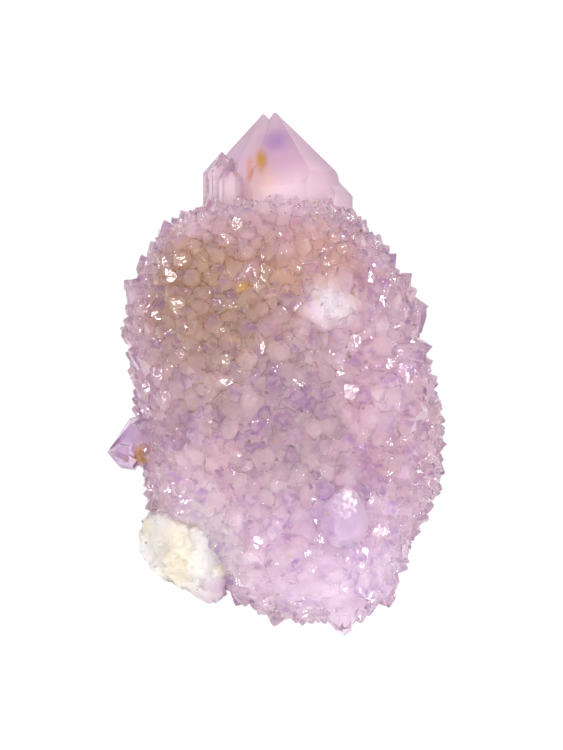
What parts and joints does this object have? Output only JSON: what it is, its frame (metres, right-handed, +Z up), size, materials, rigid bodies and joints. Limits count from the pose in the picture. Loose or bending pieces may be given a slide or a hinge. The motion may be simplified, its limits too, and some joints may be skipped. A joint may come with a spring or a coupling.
{
  "type": "spirit quartz cluster",
  "caption": "Spirit quartz: one large quartz point whose sides are overgrown by a crust of small crystals, lying on its side on a flat contact face.",
  "frame": {"origin": "on the surface it rests on, under the middle of the bounding box", "axes": "+Y from the base to the large point, +Z up from the contact face, +X to the right as it is seen from above with the point away from the viewer"},
  "size_m": [0.055, 0.0842, 0.0415],
  "materials": {
    "milky_amethyst": "milky, partly clear lilac quartz with a glassy lustre"
  },
  "bodies": {
    "root": {"spirit_quartz_cluster": "milky_amethyst"}
  },
  "joints": []
}
